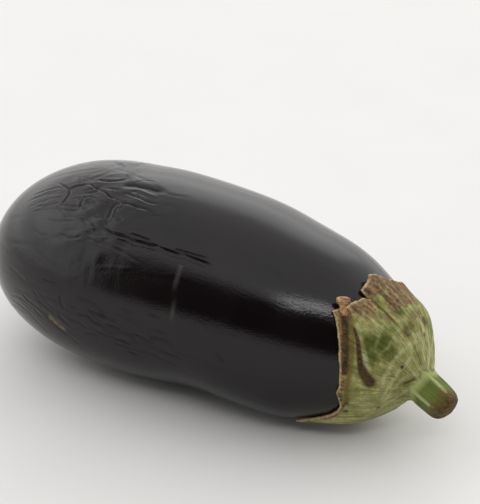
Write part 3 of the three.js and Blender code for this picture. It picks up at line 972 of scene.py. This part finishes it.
def stem_bark():
    """Ridged green stem: dark green between pale ridges, with a corky brown healed end."""
    material, tree = new_material("ridged_green_stem")
    place = add_node(tree, "TexCoord").outputs["Object"]
    ridge = add_node(tree, "Attribute", attribute_name="ridge").outputs["Fac"]
    along = add_node(tree, "Attribute", attribute_name="along").outputs["Fac"]
    along_fibre = add_node(tree, "Attribute", attribute_name="fibre").outputs["Vector"]
    fibre = add_node(tree, "TexNoise", {
        "Vector": along_fibre, "Scale": per_metre(0.9), "Detail": 5.0, "Roughness": 0.65})
    fine = add_node(tree, "TexNoise", {
        "Vector": place, "Scale": per_metre(1.6), "Detail": 6.0, "Roughness": 0.65})
    face = add_node(tree, "Mix", {0: fibre.outputs["Fac"], 6: linear("#3b4915"), 7: linear("#727d36")},
                    data_type="RGBA")
    crest = add_node(tree, "MapRange", {"Value": ridge, "From Min": 0.88, "From Max": 1.0, "To Max": 0.8})
    green = add_node(tree, "Mix", {0: crest.outputs[0], 6: face.outputs[2], 7: linear("#b2b57c")},
                     data_type="RGBA")
    root = add_node(tree, "MapRange", {"Value": along, "From Min": 0.3, "From Max": 0.14})
    rooted = add_node(tree, "Mix", {0: root.outputs[0], 6: green.outputs[2], 7: linear("#9aa163")},
                      data_type="RGBA")
    grain = add_node(tree, "MapRange", {"Value": fine.outputs["Fac"], "From Min": 0.32, "From Max": 0.68})
    brown = add_node(tree, "Mix", {0: grain.outputs[0], 6: linear("#251908"), 7: linear("#6f572a")},
                     data_type="RGBA")
    healed = add_node(tree, "Math", {0: along, 1: fine.outputs["Fac"]}, operation="ADD")
    cover = add_node(tree, "MapRange", {"Value": healed.outputs[0], "From Min": 1.06, "From Max": 1.3})
    colour = add_node(tree, "Mix", {0: cover.outputs[0], 6: rooted.outputs[2], 7: brown.outputs[2]},
                      data_type="RGBA")
    rough = add_node(tree, "Math", {0: fibre.outputs["Fac"], 1: fine.outputs["Fac"]}, operation="ADD")
    bump = add_node(tree, "Bump", {"Height": rough.outputs[0], "Strength": 0.5, "Distance": 0.0005})
    shader = add_node(tree, "BsdfPrincipled", {
        "Base Color": colour.outputs[2], "Roughness": 0.72, "Specular IOR Level": 0.25, "Sheen Weight": 0.04,
        "Normal": bump.outputs[0]})
    add_node(tree, "OutputMaterial", {"Surface": shader.outputs[0]})
    return material


def matt_paper():
    """Matt white paper of the floor, faintly uneven in tone."""
    material, tree = new_material("matt_white_paper")
    place = add_node(tree, "TexCoord").outputs["Object"]
    tooth = add_node(tree, "TexNoise", {"Vector": place, "Scale": per_metre(60), "Detail": 2.0})
    colour = add_node(tree, "Mix", {0: tooth.outputs["Fac"], 6: linear("#d9d8d7"), 7: linear("#dedddc")},
                      data_type="RGBA")
    shader = add_node(tree, "BsdfPrincipled", {"Base Color": colour.outputs[2], "Roughness": 0.9})
    add_node(tree, "OutputMaterial", {"Surface": shader.outputs[0]})
    return material


FLOOR_RADIUS_M = 6.0
FLOOR_SIDES = 96


def make_floor():
    angles = np.linspace(0.0, FULL_TURN, FLOOR_SIDES, endpoint=False)
    rim = [(FLOOR_RADIUS_M * math.cos(angle), FLOOR_RADIUS_M * math.sin(angle), 0.0) for angle in angles]
    mesh = bpy.data.meshes.new("floor")
    mesh.from_pydata(rim, [], [list(range(FLOOR_SIDES))])
    floor = bpy.data.objects.new("floor", mesh)
    bpy.context.collection.objects.link(floor)
    floor.data.materials.append(matt_paper())


def make_camera():
    data = bpy.data.cameras.new("camera")
    data.sensor_fit = "VERTICAL"
    data.sensor_height = SENSOR_MM
    data.lens = FOCAL_PIXELS / IMAGE_HEIGHT * SENSOR_MM
    camera = bpy.data.objects.new("camera", data)
    camera.location = Vector(CAMERA_PLACE * MM)
    camera.rotation_euler = Vector(-VIEW_BACK).to_track_quat("-Z", "Y").to_euler()
    bpy.context.collection.objects.link(camera)
    bpy.context.scene.camera = camera


def heading_from_back(azimuth, elevation):
    """Direction from the object, turned left from straight behind it as the camera sees it, in degrees."""
    turn = math.pi / 2.0 + CAMERA_AZIMUTH + math.radians(azimuth)
    flat = math.cos(math.radians(elevation))
    return np.array([math.cos(turn) * flat, math.sin(turn) * flat, math.sin(math.radians(elevation))])


def soft_light(name, radiance, width, height, azimuth, elevation, distance):
    """A rectangular softbox, sized in metres, whose face has the given brightness."""
    data = bpy.data.lights.new(name, "AREA")
    data.shape = "RECTANGLE"
    data.size = width
    data.size_y = height
    data.energy = radiance * math.pi * width * height
    light = bpy.data.objects.new(name, data)
    heading = heading_from_back(azimuth, elevation)
    light.location = Vector(heading * distance)
    light.rotation_euler = Vector(-heading).to_track_quat("-Z", "Y").to_euler()
    light.visible_camera = False
    bpy.context.collection.objects.link(light)


# Softboxes: name, brightness, width and height in m, azimuth and elevation in degrees, distance in m
SOFTBOXES = (
    ("back_panel", 1.0, 1.2, 0.8, -14, 34, 1.5),
    ("left_panel", 0.6, 1.0, 0.9, 75, 38, 1.5),
    ("front_lamp", 7.5, 0.6, 0.11, 191, 50, 1.1),
)
# The tent dims from its sides, below the first height, to its top, above the second, on a dome of radius 1
TENT_DIMMING = (0.6, 0.95)
TENT_BRIGHTNESS = 1.4
TENT_TOP_BRIGHTNESS = 1.15
OPENING_BRIGHTNESS = 0.03
OPENING_AZIMUTH = 186.0
OPENING_HALF_WIDTH = 66.0
OPENING_TOP = 45.0
OPENING_SOFTNESS = 6.0
BACKDROP_BRIGHTNESS = 0.88


def make_lights():
    """A white light tent with a dark front opening, and the softboxes in it."""
    for softbox in SOFTBOXES:
        soft_light(*softbox)
    world = bpy.data.worlds.new("light_tent")
    bpy.context.scene.world = world
    world.use_nodes = True
    tree = world.node_tree
    tree.nodes.clear()
    heading = add_node(tree, "TexCoord").outputs["Generated"]
    height = add_node(tree, "SeparateXYZ", {0: heading}).outputs["Z"]
    dome = add_node(tree, "MapRange", {
        "Value": height, "From Min": TENT_DIMMING[0], "From Max": TENT_DIMMING[1],
        "To Min": TENT_BRIGHTNESS, "To Max": TENT_TOP_BRIGHTNESS})
    front = add_node(tree, "VectorMath", {
        0: heading, 1: heading_from_back(OPENING_AZIMUTH, 0.0)}, operation="DOT_PRODUCT")
    side = add_node(tree, "VectorMath", {
        0: heading, 1: heading_from_back(OPENING_AZIMUTH + 90.0, 0.0)}, operation="DOT_PRODUCT")
    turn = add_node(tree, "Math", {0: side.outputs["Value"], 1: front.outputs["Value"]}, operation="ARCTAN2")
    turned = add_node(tree, "Math", {0: turn.outputs[0]}, operation="ABSOLUTE")
    within = add_node(tree, "MapRange", {
        "Value": turned.outputs[0],
        "From Min": math.radians(OPENING_HALF_WIDTH - OPENING_SOFTNESS),
        "From Max": math.radians(OPENING_HALF_WIDTH + OPENING_SOFTNESS),
        "To Min": 1.0, "To Max": 0.0}, interpolation_type="SMOOTHSTEP")
    below = add_node(tree, "MapRange", {
        "Value": height,
        "From Min": math.sin(math.radians(OPENING_TOP - OPENING_SOFTNESS)),
        "From Max": math.sin(math.radians(OPENING_TOP + OPENING_SOFTNESS)),
        "To Min": 1.0, "To Max": 0.0}, interpolation_type="SMOOTHSTEP")
    opening = add_node(tree, "Math", {0: within.outputs[0], 1: below.outputs[0]}, operation="MULTIPLY")
    tent = add_node(tree, "Mix", {0: opening.outputs[0], 2: dome.outputs[0], 3: OPENING_BRIGHTNESS})
    seen = add_node(tree, "LightPath").outputs["Is Camera Ray"]
    strength = add_node(tree, "Mix", {0: seen, 2: tent.outputs[0], 3: BACKDROP_BRIGHTNESS})
    back = add_node(tree, "Background", {"Color": linear("#fffefd"), "Strength": strength.outputs[0]})
    add_node(tree, "OutputWorld", {"Surface": back.outputs[0]})
    bpy.context.scene.view_settings.view_transform = "Standard"


def dress(piece, material, node):
    piece.data.materials.append(material)
    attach(piece, "root")
    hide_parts(node)


make_camera()
make_lights()
make_floor()
dress(make_fruit(), eggplant_skin(), "fruit")
calyx_piece = make_calyx()
dress(calyx_piece, calyx_leather(), "calyx")
dress(make_dried_tip(calyx_piece), dried_leaf(), "calyx")
dress(make_stem(), stem_bark(), "stem")
